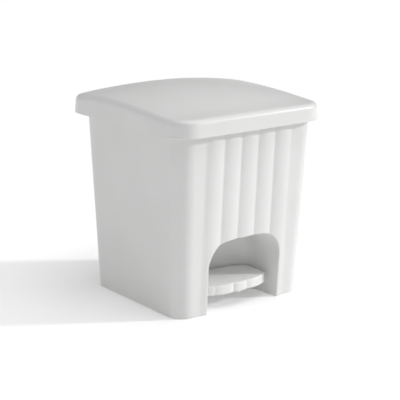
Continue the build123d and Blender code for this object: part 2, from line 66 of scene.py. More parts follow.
# Outer body
WALL = 2.2
TAPER_X = 0.0379
TAPER_Y = 0.0504
TAPER_R = 0.0134
TOP_Z = 238.0
BOTTOM_Z = body_low[2]
TOP_HALF_X = body_high[0]
TOP_DEPTH = 203.6
TOP_CORNER_R = 24.2
FLUTE_PITCH = 26.0
FLUTE_RISE = 2.3
FLUTE_COUNT = 5
GROOVE_HALF = 1.3
FRONT_TOP_Y = body_low[1] + FLUTE_RISE
REAR_TOP_Y = FRONT_TOP_Y + TOP_DEPTH
BODY_Y = (FRONT_TOP_Y + REAR_TOP_Y) / 2
FLUTE_RADIUS = ((FLUTE_PITCH / 2) ** 2 + FLUTE_RISE ** 2) / (2 * FLUTE_RISE)

# Foot niche
NICHE_HALF_WIDTH = 55.6
NICHE_HEIGHT = 89.0
NICHE_CORNER_R = 31.0
NICHE_SAG = 3.0
NICHE_NARROWING = 0.117
NICHE_FALL = 0.09
NICHE_REAR_R = 96.0
NICHE_REAR_Y = FRONT_TOP_Y + TAPER_Y * TOP_Z + 58.3
NICHE_REAR_SLOPE = 0.07
NICHE_REAR_BASE_Z = 33.0
NICHE_ARC_END = 0.87
NICHE_BLEND = 12.0
NICHE_EDGE = 1.4
PATCH_HALF_X = 70.0
PATCH_TOP_Z = 105.0
LEG_STEPS = 26
SLOT_HALF_X = 23.6
SLOT_TOP_Z = 31.5


# ---- Mesh helpers ------------------------------------------------------------------------------


class Mesh:
    """Collects grids and loops of points, then becomes one Blender object."""

    def __init__(self):
        self.points = []
        self.faces = []

    def add(self, points):
        start = len(self.points)
        self.points.extend(np.asarray(points, float).reshape(-1, 3).tolist())
        return start

    def grid(self, rows, closed=False):
        """A quad sheet through rows of points; closed joins each row's end to its start."""
        rows = np.asarray(rows, float)
        count, width = rows.shape[:2]
        start = self.add(rows)
        for i in range(count - 1):
            for j in range(width if closed else width - 1):
                k = (j + 1) % width
                a, b = start + i * width, start + (i + 1) * width
                self.faces.append((a + j, a + k, b + k, b + j))

    def cap(self, loop, flip=False):
        start = self.add(loop)
        face = list(range(start, start + len(loop)))
        self.faces.append(face[::-1] if flip else face)

    def prism(self, low, high):
        """A closed solid between two matching loops."""
        self.grid([low, high], closed=True)
        self.cap(low)
        self.cap(high)

    def plate(self, outline, x_low, x_high):
        """A flat plate of a given side outline, as (y, z) points, between two x values."""
        outline = np.asarray(outline, float)
        ends = [np.column_stack([np.full(len(outline), x), outline]) for x in (x_low, x_high)]
        self.prism(*ends)

    def slab(self, outline, z_low, z_high):
        """A flat slab of a given plan outline, as (x, y) points, between two heights."""
        outline = np.asarray(outline, float)
        ends = [np.column_stack([outline, np.full(len(outline), z)]) for z in (z_low, z_high)]
        self.prism(*ends)

    def post(self, x, y, radius, z_low, z_high, sides=48):
        """An upright round post."""
        self.slab(circle(x, y, radius, sides), z_low, z_high)

    def build(self, name, weld=0.004):
        mesh = bpy.data.meshes.new(name)
        mesh.from_pydata((np.array(self.points) * MM).tolist(), [], self.faces)
        work = bmesh.new()
        work.from_mesh(mesh)
        bmesh.ops.remove_doubles(work, verts=work.verts, dist=weld * MM)
        bmesh.ops.recalc_face_normals(work, faces=work.faces)
        work.to_mesh(mesh)
        work.free()
        mesh.shade_smooth()
        piece = bpy.data.objects.new(name, mesh)
        bpy.context.scene.collection.objects.link(piece)
        return piece


def circle(x, y, radius, sides=48):
    a = np.arange(sides) * 2 * math.pi / sides
    return np.column_stack([x + radius * np.cos(a), y + radius * np.sin(a)])


def hull(low, high, r_low, r_high, steps=20):
    """Outline of the hull of two circles, centred on the points low and high."""
    low, high = np.array(low, float), np.array(high, float)
    across = high - low
    base = math.atan2(across[1], across[0])
    lean = math.acos((r_low - r_high) / np.hypot(*across))
    far = np.linspace(base - lean, base + lean, steps)
    near = np.linspace(base + lean, base + 2 * math.pi - lean, steps)
    far = high + r_high * np.column_stack([np.cos(far), np.sin(far)])
    near = low + r_low * np.column_stack([np.cos(near), np.sin(near)])
    return np.concatenate([far, near])


def box_outline(x, y):
    return [(x[0], y[0]), (x[1], y[0]), (x[1], y[1]), (x[0], y[1])]


def flip_if_inward(piece, probe):
    """Turns all normals round if the face nearest to probe (mm) faces the object's middle."""
    target = Vector(probe) * MM
    face = min(piece.data.polygons, key=lambda f: (f.center - target).length)
    outward = Vector((target.x, target.y, 0.0))
    if face.normal.dot(outward) < 0:
        piece.data.flip_normals()


def bevel(piece, width, degrees, segments=2):
    modifier = piece.modifiers.new("bevel", "BEVEL")
    modifier.width = width * MM
    modifier.segments = segments
    modifier.limit_method = "ANGLE"
    modifier.angle_limit = math.radians(degrees)
    modifier.harden_normals = True
    return modifier


def finish_piece(piece, body, material, nodes=()):
    """Gives a piece its material and its body, and hides the CAD nodes that it stands for."""
    piece.data.materials.clear()
    piece.data.materials.append(material)
    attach(piece, body)
    if nodes:
        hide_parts(*nodes)
    return piece


def bezier(start, corner, end, steps):
    """Rows of points that round a corner, for whole stations at once."""
    t = np.linspace(0, 1, steps + 1)[:, None, None]
    return (1 - t) ** 2 * start + 2 * t * (1 - t) * corner + t ** 2 * end


def soft_max(value, softness):
    return (value + np.sqrt(value ** 2 + softness ** 2)) / 2


# ---- Outer body --------------------------------------------------------------------------------


def front_y(z):
    return FRONT_TOP_Y + TAPER_Y * (TOP_Z - z)


def flute_rise(x):
    """How far the fluted front stands proud at x: round flutes, grooves with a small radius and soft ends."""
    last = FLUTE_COUNT // 2
    centre = np.clip(np.round(x / FLUTE_PITCH), -last, last) * FLUTE_PITCH
    off = np.minimum(np.abs(x - centre), FLUTE_RADIUS)
    rise = np.sqrt(FLUTE_RADIUS ** 2 - off ** 2) - FLUTE_RADIUS + FLUTE_RISE
    start = FLUTE_PITCH / 2 - GROOVE_HALF
    steep = start / math.sqrt(FLUTE_RADIUS ** 2 - start ** 2)
    shore = math.sqrt(FLUTE_RADIUS ** 2 - start ** 2) - FLUTE_RADIUS + FLUTE_RISE
    groove = shore - steep * (GROOVE_HALF ** 2 - (FLUTE_PITCH / 2 - off) ** 2) / (2 * GROOVE_HALF)
    inside = (off > start) & (np.abs(x) < (last + 0.5) * FLUTE_PITCH)
    rise = np.where(inside, groove, rise)
    ends = soft_max(rise, 0.5)
    return np.where(np.abs(x) > last * FLUTE_PITCH, ends, rise)


def front_surface(x, z):
    """Points of the front wall's outer face at (x, z)."""
    x, z = np.broadcast_arrays(np.asarray(x, float), np.asarray(z, float))
    return np.stack([x, front_y(z) - flute_rise(x), z], axis=-1)


def front_columns():
    """X of the mesh columns across the front, closer together beside each groove."""
    share = np.array([0, 0.035, 0.07, 0.1, 0.17, 0.29, 0.45, 0.62, 0.81, 1.0])
    half = np.concatenate([-1 + share, (1 - share[::-1])[1:]])
    columns = []
    for i in range(FLUTE_COUNT):
        centre = (i - FLUTE_COUNT // 2) * FLUTE_PITCH
        columns.extend(centre + half[:-1] * FLUTE_PITCH / 2)
    edge = FLUTE_COUNT * FLUTE_PITCH / 2
    columns.append(edge)
    outer = [edge + 1.2, edge + 2.6, PATCH_HALF_X]
    return np.array([-x for x in outer[::-1]] + columns + outer)


def body_ring(z):
    """Plan points round the body at height z, from the patch's left edge round to its right edge."""
    down = TOP_Z - z
    half_x = TOP_HALF_X - TAPER_X * down
    front = front_y(z)
    rear = REAR_TOP_Y - TAPER_Y * down
    radius = TOP_CORNER_R - TAPER_R * down
    points = []

    def straight(start, end, steps):
        for t in np.linspace(0, 1, steps, endpoint=False):
            points.append((start[0] + (end[0] - start[0]) * t, start[1] + (end[1] - start[1]) * t))

    def corner(x, y, degrees, steps=18):
        for t in np.linspace(0, 90, steps, endpoint=False):
            a = math.radians(degrees - t)
            points.append((x + radius * math.cos(a), y + radius * math.sin(a)))

    inner_x, inner_front, inner_rear = half_x - radius, front + radius, rear - radius
    straight((-PATCH_HALF_X, front), (-inner_x, front), 4)
    corner(-inner_x, inner_front, 270)
    straight((-half_x, inner_front), (-half_x, inner_rear), 26)
    corner(-inner_x, inner_rear, 180)
    straight((-inner_x, rear), (inner_x, rear), 30)
    corner(inner_x, inner_rear, 90)
    straight((half_x, inner_rear), (half_x, inner_front), 26)
    corner(inner_x, inner_front, 0)
    straight((inner_x, front), (PATCH_HALF_X, front), 4)
    points.append((PATCH_HALF_X, front))
    ring = np.array([(x, y, z) for x, y in points])
    ring[:, 1] -= np.where(ring[:, 1] < inner_front - radius + 0.01, flute_rise(ring[:, 0]), 0)
    return ring


def arch_legs(half_width, radius, centre_x, centre_z):
    """The arch's right leg and half of its corner, foot first: points (x, z) and outward normals."""
    straight = centre_z - BOTTOM_Z
    side = straight + radius * math.pi / 4
    legs = []
    for i in range(LEG_STEPS):
        along = side * i / LEG_STEPS
        if along < straight:
            legs.append((half_width, BOTTOM_Z + along, 1.0, 0.0))
        else:
            a = (along - straight) / radius
            normal = (math.cos(a), math.sin(a))
            legs.append((centre_x + radius * normal[0], centre_z + radius * normal[1], *normal))
    return legs


def arch_stations(columns, shrink=0.0):
    """The niche's arch at nominal size: points (x, z) and outward normals, left foot to right foot.

    Shrink gives the arch that runs inside the nominal one at that distance, station for station.
    """
    w, h, r = NICHE_HALF_WIDTH - shrink, NICHE_HEIGHT - shrink, NICHE_CORNER_R - shrink
    slope_x = w - r
    for _ in range(4):
        lean = math.atan(2 * NICHE_SAG * slope_x / w ** 2)
        slope_x = w - r + r * math.sin(lean)
    centre_x = w - r
    centre_z = h - NICHE_SAG * (slope_x / w) ** 2 - r * math.cos(lean)
    turn_x = centre_x + r * math.cos(math.pi / 4)
    nominal_turn_x = NICHE_HALF_WIDTH - NICHE_CORNER_R * (1 - math.cos(math.pi / 4))
    legs = arch_legs(w, r, centre_x, centre_z)
    tops = []
    last_groove = (FLUTE_COUNT - 2) * FLUTE_PITCH / 2
    for column in columns:
        x = abs(column)
        spread = 0.0
        if x > last_groove:
            spread = (x - last_groove) / (PATCH_HALF_X - last_groove)
            x = last_groove + spread * (nominal_turn_x - last_groove)
        x *= turn_x / nominal_turn_x
        if x < slope_x:
            a = math.pi / 2 - math.atan(2 * NICHE_SAG * x / w ** 2)
            z = h - NICHE_SAG * (x / w) ** 2
        else:
            a = math.acos((x - centre_x) / r)
            z = centre_z + r * math.sin(a)
        normal_x = math.cos(a) * spread
        normal_z = math.sin(a) * spread + (1 - spread) / math.sin(a)
        sign = math.copysign(1, column)
        tops.append((sign * x, z, sign * normal_x, normal_z))
    left = [(-x, z, -nx, nz) for x, z, nx, nz in legs]
    stations = np.array(left + tops + legs[::-1])
    return stations[:, :2], stations[:, 2:]


def tunnel_point(arch, y):
    """The arch's stations carried back to depth y, where the niche is narrower and lower."""
    inward = y - front_y(0)
    x = arch[:, 0] * (NICHE_HALF_WIDTH - NICHE_NARROWING * inward) / NICHE_HALF_WIDTH
    fall = (NICHE_HEIGHT - NICHE_FALL * inward - BOTTOM_Z) / (NICHE_HEIGHT - BOTTOM_Z)
    z = BOTTOM_Z + (arch[:, 1] - BOTTOM_Z) * fall
    return np.stack([x, y, z], axis=-1)


def niche_rear(x, z):
    """Points of the niche's curved, slightly leaning rear wall at (x, z)."""
    x, z = np.broadcast_arrays(np.asarray(x, float), np.asarray(z, float))
    centre_y = NICHE_REAR_Y - NICHE_REAR_R + NICHE_REAR_SLOPE * (z - NICHE_REAR_BASE_Z)
    y = centre_y + np.sqrt(NICHE_REAR_R ** 2 - x ** 2)
    return np.stack([x, y, z], axis=-1)


def slot_stations(columns):
    """Outline of the lever's slot in the niche's rear wall, station for station with the arch."""
    z = np.linspace(BOTTOM_Z, SLOT_TOP_Z, LEG_STEPS + 1)[:-1]
    left = [(-SLOT_HALF_X, value) for value in z]
    top = [(SLOT_HALF_X * c / PATCH_HALF_X, SLOT_TOP_Z) for c in columns]
    right = [(SLOT_HALF_X, value) for value in z[::-1]]
    return np.array(left + top + right)


def niche_rows(columns):
    """Rows of stations from the patch's frame, over the arch's rounded edge and back to the slot."""
    arch, normal = arch_stations(columns)
    face = front_surface(arch[:, 0], arch[:, 1])
    for _ in range(3):
        edge = tunnel_point(arch, face[:, 1])
        face = front_surface(edge[:, 0], edge[:, 2])
    rim = edge[:, [0, 2]] + normal * NICHE_EDGE
    legs = np.linspace(BOTTOM_Z, PATCH_TOP_Z, LEG_STEPS + 1)[:-1]
    outer = [(-PATCH_HALF_X, z) for z in legs]
    outer += [(x, PATCH_TOP_Z) for x in columns]
    outer += [(PATCH_HALF_X, z) for z in legs[::-1]]
    outer = np.array(outer)
    rows = []
    for t in (0, 0.14, 0.28, 0.42, 0.56, 0.7, 0.82, 0.92):
        flat = outer + (rim - outer) * t
        rows.append(front_surface(flat[:, 0], flat[:, 1]))
    start = front_surface(rim[:, 0], rim[:, 1])
    end = tunnel_point(arch, edge[:, 1] + NICHE_EDGE)
    rows.extend(bezier(start, edge, end, 6))
    corner = tunnel_point(arch, np.full(len(arch), NICHE_REAR_Y))
    for _ in range(5):
        corner = tunnel_point(arch, niche_rear(corner[:, 0], corner[:, 2])[:, 1])
    first = edge[:, 1] + NICHE_EDGE
    last = corner[:, 1] - NICHE_BLEND
    for t in np.linspace(0, 1, 11)[1:-1]:
        rows.append(tunnel_point(arch, first + (last - first) * t))
    begin = tunnel_point(arch, last)
    inner = tunnel_point(arch_stations(columns, NICHE_BLEND)[0], corner[:, 1])[:, [0, 2]]
    rows.extend(bezier(begin, corner, niche_rear(inner[:, 0], inner[:, 1]), 8))
    slot = slot_stations(columns)
    for t in (0.15, 0.3, 0.45, 0.6, 0.75, 0.9, 1.0):
        flat = inner + (slot - inner) * t
        rows.append(niche_rear(flat[:, 0], flat[:, 1]))
    return rows


def make_outer_body(material):
    columns = front_columns()
    mesh = Mesh()
    low_levels = np.linspace(BOTTOM_Z, PATCH_TOP_Z, LEG_STEPS + 1)
    high_levels = np.linspace(PATCH_TOP_Z, TOP_Z, 24)
    mesh.grid([body_ring(z) for z in low_levels])
    rings = []
    for z in high_levels:
        front = front_surface(columns[::-1], z)
        rings.append(np.concatenate([body_ring(z)[:-1], front[:-1]]))
    mesh.grid(rings, closed=True)
    mesh.grid(niche_rows(columns))
    piece = mesh.build("outer_body_shell")
    flip_if_inward(piece, (-TOP_HALF_X, 0, TOP_Z * 0.7))
    solid = piece.modifiers.new("wall", "SOLIDIFY")
    solid.thickness = WALL * MM
    solid.offset = -1
    solid.use_even_offset = True
    solid.use_rim = True
    bevel(piece, 0.35, 50)
    return finish_piece(piece, "base", material, ["outer_body"])


FLOOR_Z = 46.0
FLOOR_THICKNESS = 2.0
WEB_EMBED = 0.6
OVERLAP = 0.5
PIVOT_BOSS_X = (24.0, 28.0)
PIVOT_BOSS_R = 6.5
PIVOT_BOSS_ROOT_R = 9.0
PIVOT_BOSS_LEAN = 4.0
POST_X = 84.0
POST_Y = 75.0
POST_R = 8.0
PAD_THICKNESS = 1.6
HINGE_X = 62.0
EAR_THICKNESS = 6.0
EAR_R = 5.5
EAR_ROOT_R = 7.0
EAR_ROOT_AHEAD = 10.0
EAR_ROOT_DROP = 2.5
GUIDE_HEIGHTS = (85.0, 185.0)
GUIDE_RIB_X = (8.0, 10.0)
GUIDE_RIB_DEPTH = (3.0, 8.0)
GUIDE_RIB_HALF_HEIGHT = 6.0
CRANK_PIN = (89.06, 222.68)
ROD_BEHIND_PIN = 2.2
ROD_HOLE_HALF_X = 11.0
ROD_HOLE_AHEAD = 9.0


def rod_y(z):
    """Y of the lift rod's centre line at height z."""
    return CRANK_PIN[0] - ROD_BEHIND_PIN + (z - CRANK_PIN[1]) * TAPER_Y


def floor_outline(z):
    """Plan of the floor web: the body's inside less the niche, with a notch for the rod at the rear."""
    ring = body_ring(z)[4:-5, :2]
    inward = np.array([0, BODY_Y]) - ring
    ring = ring + inward * (WALL - WEB_EMBED) / np.maximum(np.linalg.norm(inward, axis=1), 1)[:, None]
    left = ring[(ring[:, 0] <= -ROD_HOLE_HALF_X) | (ring[:, 1] < 0)]
    left = left[left[:, 0] < 0]
    rear = left[:, 1].max()
    notch = rod_y(z) - ROD_HOLE_AHEAD
    left = np.concatenate([left, [(-ROD_HOLE_HALF_X, rear), (-ROD_HOLE_HALF_X, notch)]])
    front = front_y(z) + WALL
    half = NICHE_HALF_WIDTH + WALL
    radius = NICHE_REAR_R + WALL - WEB_EMBED
    centre_y = NICHE_REAR_Y - NICHE_REAR_R + NICHE_REAR_SLOPE * (z - NICHE_REAR_BASE_Z)
    arc_end_y = centre_y + radius * NICHE_ARC_END
    side_x = half - NICHE_NARROWING * (arc_end_y - front)
    reach = math.asin(side_x / radius)
    arc = [(radius * math.sin(a), centre_y + radius * math.cos(a)) for a in np.linspace(0, -reach, 14)]
    niche = np.array([*arc, (-half, front + 1.0)])
    left = np.concatenate([left[::-1], niche[::-1]])
    right = left[::-1] * (-1, 1)
    return np.concatenate([left[:-1], right])


def make_body_fittings(material):
    """What is moulded inside the outer body: floor web, posts, axle bosses, hinge ears and guide ribs."""
    mesh = Mesh()
    under = FLOOR_Z - FLOOR_THICKNESS
    mesh.slab(floor_outline(FLOOR_Z), under, FLOOR_Z)
    for x in (-POST_X, POST_X):
        for y in (BODY_Y - POST_Y, BODY_Y + POST_Y):
            mesh.post(x, y, POST_R, PAD_THICKNESS, under + OVERLAP)
    boss = hull((pivot_y, pivot_z), (pivot_y + PIVOT_BOSS_LEAN, under), PIVOT_BOSS_R, PIVOT_BOSS_ROOT_R)
    boss[:, 1] = np.minimum(boss[:, 1], under + OVERLAP)
    ear_root = (hinge_y - EAR_ROOT_AHEAD, hinge_z - EAR_ROOT_DROP)
    ear = hull(ear_root, (hinge_y, hinge_z), EAR_ROOT_R, EAR_R)
    ear[:, 1] = np.minimum(ear[:, 1], TOP_Z)
    for side in (-1, 1):
        mesh.plate(boss, side * PIVOT_BOSS_X[0], side * PIVOT_BOSS_X[1])
        mesh.plate(ear, side * HINGE_X - EAR_THICKNESS / 2, side * HINGE_X + EAR_THICKNESS / 2)
    tilt = math.atan(TAPER_Y)
    corners = np.array(box_outline(GUIDE_RIB_DEPTH, (-GUIDE_RIB_HALF_HEIGHT, GUIDE_RIB_HALF_HEIGHT)))
    for z in GUIDE_HEIGHTS:
        y = rod_y(z) + corners[:, 0] * math.cos(tilt) + corners[:, 1] * math.sin(tilt)
        height = z - corners[:, 0] * math.sin(tilt) + corners[:, 1] * math.cos(tilt)
        for side in (-1, 1):
            mesh.plate(np.column_stack([y, height]), side * GUIDE_RIB_X[0], side * GUIDE_RIB_X[1])
    piece = mesh.build("outer_body_fittings")
    bevel(piece, 0.4, 40)
    return finish_piece(piece, "base", material, ["outer_body"])


# ---- Lid ---------------------------------------------------------------------------------------

LID_HALF_X = lid_high[0]
LID_HALF_Y = -lid_low[1]
LID_RIM_Z = lid_low[2]
LID_EDGE_Z = 244.2
LID_CORNER_R = 31.0
LID_BOW = 1.4
LID_FLARE = 0.079
LID_SIDE_ARCH = 6.0
LID_REAR_ARCH = 6.2
LID_REAR_DROP = 2.6
LID_CROWN = 10.8
LID_ARCH_PEAK = 0.3
LID_ARCH_REACH = 1.04
LID_CROWN_PEAK = 0.15
LID_WALL = 2.2
LID_EDGE_ROUND = 6.5
LID_GRID = 56
LID_CORNER_STEPS = 12


def crown(x, y):
    """Height of the lid's top: flat along the front edge, arched over the sides and the rear."""
    u = x / LID_HALF_X
    v = y / LID_HALF_Y
    behind_arch = v - LID_ARCH_PEAK
    front_side = soft_max(LID_SIDE_ARCH * (1 - (behind_arch / LID_ARCH_REACH) ** 2), 0.7)
    rear_side = LID_SIDE_ARCH - (LID_SIDE_ARCH + LID_REAR_DROP) * (behind_arch / (1 - LID_ARCH_PEAK)) ** 2
    side = np.where(behind_arch < 0, front_side, rear_side)
    behind_crown = v - LID_CROWN_PEAK
    front_fall = LID_CROWN * (behind_crown / (1 + LID_CROWN_PEAK)) ** 2
    rear_fall = (LID_CROWN - LID_REAR_ARCH) * (behind_crown / (1 - LID_CROWN_PEAK)) ** 2
    fall = np.where(behind_crown > 0, rear_fall, front_fall)
    return LID_EDGE_Z + side + (LID_CROWN - fall) * (1 - u * u)


def lid_side(half_x, half_y, radius, turns):
    """One side of the lid's outline with half of each corner beside it, drawn as if it were the front."""
    inner_x, inner_y = half_x - radius, half_y - radius
    turn = np.radians(np.linspace(45, 0, turns + 1)[:-1])
    right = np.column_stack([inner_x + radius * np.sin(turn), -inner_y - radius * np.cos(turn)])
    x = np.linspace(-inner_x, inner_x, LID_GRID - 2 * turns + 1)
    straight = np.column_stack([x, np.full(len(x), -half_y)])
    return np.concatenate([right * (-1, 1), straight, right[::-1]])


def lid_sides(inset):
    """The four sides of the lid's outline: front, right, rear, left, each running anticlockwise."""
    half_x, half_y, radius = LID_HALF_X - inset, LID_HALF_Y - inset, LID_CORNER_R - inset
    front = lid_side(half_x, half_y, radius, LID_CORNER_STEPS)
    side = lid_side(half_y, half_x, radius, LID_CORNER_STEPS)
    sides = [front, np.stack([-side[:, 1], side[:, 0]], -1), -front, np.stack([side[:, 1], -side[:, 0]], -1)]
    for points in sides:
        front_share = np.clip(-points[:, 1] / half_y, 0, 1) ** 6
        points[:, 1] += LID_BOW * front_share * (points[:, 0] / half_x) ** 2
    return sides


def lid_loop(inset):
    return np.concatenate([points[:-1] for points in lid_sides(inset)])


def lid_patch(inset):
    """A square grid of plan points that fills the lid's outline, blended in from its four sides."""
    front, right, rear, left = lid_sides(inset)
    rear, left = rear[::-1], left[::-1]
    n = LID_GRID + 1
    t = np.linspace(0, 1, n)
    u, v = t[None, :, None], t[:, None, None]
    ruled_v = (1 - v) * front[None] + v * rear[None]
    ruled_u = (1 - u) * left[:, None] + u * right[:, None]
    corners = (1 - v) * ((1 - u) * front[0] + u * front[-1]) + v * ((1 - u) * rear[0] + u * rear[-1])
    return ruled_v + ruled_u - corners


def lid_skin(mesh, inset, drop, rim_z):
    """One skin of the lid: top patch, rounded edge and skirt down to rim_z. Returns the skirt's last loop."""
    flare = LID_FLARE * (LID_EDGE_Z - LID_RIM_Z)
    rounding = LID_EDGE_ROUND - inset
    top_inset = inset + flare + rounding
    patch = lid_patch(top_inset)
    z = crown(patch[..., 0], patch[..., 1]) - drop
    mesh.grid(np.concatenate([patch, z[..., None]], axis=-1))
    loop = lid_loop(top_inset)
    start = np.column_stack([loop, crown(loop[:, 0], loop[:, 1]) - drop])
    edge = lid_loop(inset + flare)
    height = crown(edge[:, 0], edge[:, 1]) - drop
    corner = np.column_stack([edge, height])
    t = (rounding / (height - rim_z))[:, None]
    rim = np.column_stack([lid_loop(inset), np.full(len(edge), rim_z)])
    end = corner + (rim - corner) * t
    mesh.grid(bezier(start, corner, end, 7), closed=True)
    steps = [end + (rim - end) * s for s in np.linspace(0, 1, 7)]
    mesh.grid(steps, closed=True)
    return rim


def make_lid(material):
    mesh = Mesh()
    outer = lid_skin(mesh, 0.0, 0.0, LID_RIM_Z)
    inner = lid_skin(mesh, LID_WALL, LID_WALL, LID_RIM_Z)
    mesh.grid([outer, inner], closed=True)
    piece = mesh.build("lid_shell")
    bevel(piece, 0.6, 50, 3)
    return finish_piece(piece, "lid", material, ["lid"])


LUG_THICKNESS = 3.0
LUG_GAP = 0.3
LUG_R = 5.0
LUG_ROOT_R = 7.0
LUG_HEIGHT = 24.0
SCREW_PLACES = ((-12.0, 80.0), (12.0, 80.0))
SCREW_BOSS_R = 4.0
LEVER_PLATE_TOP = 246.0
BUFFER_PLACES = ((-60.0, -105.2), (60.0, -105.2))
BUFFER_TOP_Z = 240.2
BUFFER_BOSS_R = 5.0


def make_lid_fittings(material):
    """Hinge lugs, screw bosses and buffer bosses under the lid's top."""
    mesh = Mesh()
    for side in (-1, 1):
        for offset in (-1, 1):
            centre = side * HINGE_X + offset * (EAR_THICKNESS / 2 + LUG_GAP + LUG_THICKNESS / 2)
            lug = hull((hinge_y, hinge_z), (hinge_y, hinge_z + LUG_HEIGHT), LUG_R, LUG_ROOT_R)
            tops = [crown(abs(centre) + LUG_THICKNESS / 2, y) - WALL / 2 for y in lug[:, 0]]
            lug[:, 1] = np.minimum(lug[:, 1], tops)
            mesh.plate(lug, centre - LUG_THICKNESS / 2, centre + LUG_THICKNESS / 2)
    for x, y in SCREW_PLACES:
        mesh.post(x, y, SCREW_BOSS_R, LEVER_PLATE_TOP, crown(x, y + SCREW_BOSS_R) - WALL / 2)
    for x, y in BUFFER_PLACES:
        mesh.post(x, y, BUFFER_BOSS_R, BUFFER_TOP_Z, crown(abs(x), y - 3.0) - WALL / 2)
    piece = mesh.build("lid_fittings")
    bevel(piece, 0.4, 40)
    return finish_piece(piece, "lid", material, ["lid"])


# ---- Pedal -------------------------------------------------------------------------------------

TREAD_HALF_X = 46.5
TREAD_TOP_Z = 30.5
TREAD_RIM = 12.0
TREAD_WALL = 2.2
TREAD_SLOPE = math.tan(math.radians(2.9))
TREAD_ROUND = 1.8
TREAD_SLOPE_Y = BODY_Y - 85.0
SCALLOP_Y = BODY_Y - 86.5
SCALLOP_INNER_X = 10.7
SCALLOP_OUTER_X = 37.0
SCALLOP_RISE = 2.4
LOBE_FULLNESS = 2.8
SCALLOP_SETBACK = 3.2
SHOULDER_SETBACK = 8.1
SHOULDER_RISE = 0.9
TREAD_CORNER_R = 11.0
TREAD_REAR_GAP = 2.5
ARM_X = (18.0, 21.0)
BARREL_R = 5.5
BARREL_HALF_X = 23.5
FORK_X = (3.6, 6.6)
REAR_PIN_Y = pivot_y + 103.6
RIB_HALF_X = 1.2
RIB_REAR_Y = -40.0
RIB_LOW_Z = TREAD_TOP_Z - 14.8
ARM_FRONT_Y = -70.0


def bulge(start, end, rise, steps):
    """Points of a lobe from start up to, but not including, end: full in the middle, rounded at its ends."""
    start, end = np.array(start, float), np.array(end, float)
    t = (1 - np.cos(np.linspace(0, math.pi, steps, endpoint=False))) / 2
    height = rise * (1 - np.abs(2 * t - 1) ** LOBE_FULLNESS)
    along = (end - start) / np.hypot(*(end - start))
    out = np.array([along[1], -along[0]])
    return start + t[:, None] * (end - start) + height[:, None] * out


def tread_loop(inset):
    """Plan of the tread, drawn inwards by inset: scalloped front, splayed sides, curved rear."""
    side = TREAD_HALF_X - inset
    front = SCALLOP_Y + inset
    shoulder = front + SHOULDER_SETBACK
    right = [(SCALLOP_INNER_X, front), (SCALLOP_OUTER_X, front + SCALLOP_SETBACK), (side, shoulder)]
    knots = [(-x, y) for x, y in right[::-1]] + right
    rises = [SHOULDER_RISE, SCALLOP_RISE, SCALLOP_RISE, SCALLOP_RISE, SHOULDER_RISE]
    parts = [bulge(a, b, rise, 16) for a, b, rise in zip(knots, knots[1:], rises)]
    centre_y = NICHE_REAR_Y - NICHE_REAR_R
    radius = NICHE_REAR_R - TREAD_REAR_GAP - inset
    corner_r = TREAD_CORNER_R - inset
    wide = side + 0.5
    corner_x = wide - corner_r
    corner_y = centre_y + math.sqrt((radius - corner_r) ** 2 - corner_x ** 2)
    turn = math.atan2(corner_y - centre_y, corner_x)
    straight = np.linspace((side, shoulder), (wide, corner_y), 12, endpoint=False)
    a = np.linspace(0, turn, 12, endpoint=False)
    corner = np.column_stack([corner_x + corner_r * np.cos(a), corner_y + corner_r * np.sin(a)])
    a = np.linspace(turn, math.pi / 2, 20, endpoint=False)
    rear = np.column_stack([radius * np.cos(a), centre_y + radius * np.sin(a)])
    right = np.concatenate([straight, corner, rear])
    left = np.concatenate([[(0.0, centre_y + radius)], right[:0:-1] * (-1, 1)])
    return np.concatenate([*parts, right, left])


def tread_row(inset, below_top=None, z=None):
    """The tread's outline at a depth below its sloping top, or at a fixed height."""
    loop = tread_loop(inset)
    if z is None:
        z = TREAD_TOP_Z + TREAD_SLOPE * (loop[:, 1] - TREAD_SLOPE_Y) - below_top
    else:
        z = np.full(len(loop), z)
    return np.column_stack([loop, z])


def make_tread(mesh):
    low = TREAD_TOP_Z - TREAD_RIM
    rows = [tread_row(TREAD_WALL, TREAD_WALL), tread_row(TREAD_WALL, 5.0), tread_row(TREAD_WALL, z=low + 0.5)]
    rows += [tread_row(TREAD_WALL - 0.4, z=low + 0.1), tread_row(TREAD_WALL - 0.8, z=low)]
    rows += [tread_row(0.7, z=low), tread_row(0.2, z=low + 0.2), tread_row(0.0, z=low + 0.8)]
    rows += [tread_row(0.0, 8.0), tread_row(0.0, 4.5), tread_row(0.0, TREAD_ROUND + 0.6)]
    for t in np.linspace(0, math.pi / 2, 7):
        rows.append(tread_row(TREAD_ROUND * (1 - math.cos(t)), TREAD_ROUND * (1 - math.sin(t))))
    rows += [tread_row(TREAD_ROUND + 0.5, 0.0), tread_row(TREAD_ROUND + 1.2, 0.0)]
    mesh.grid(rows, closed=True)
    mesh.cap(rows[0])
    mesh.cap(rows[-1])


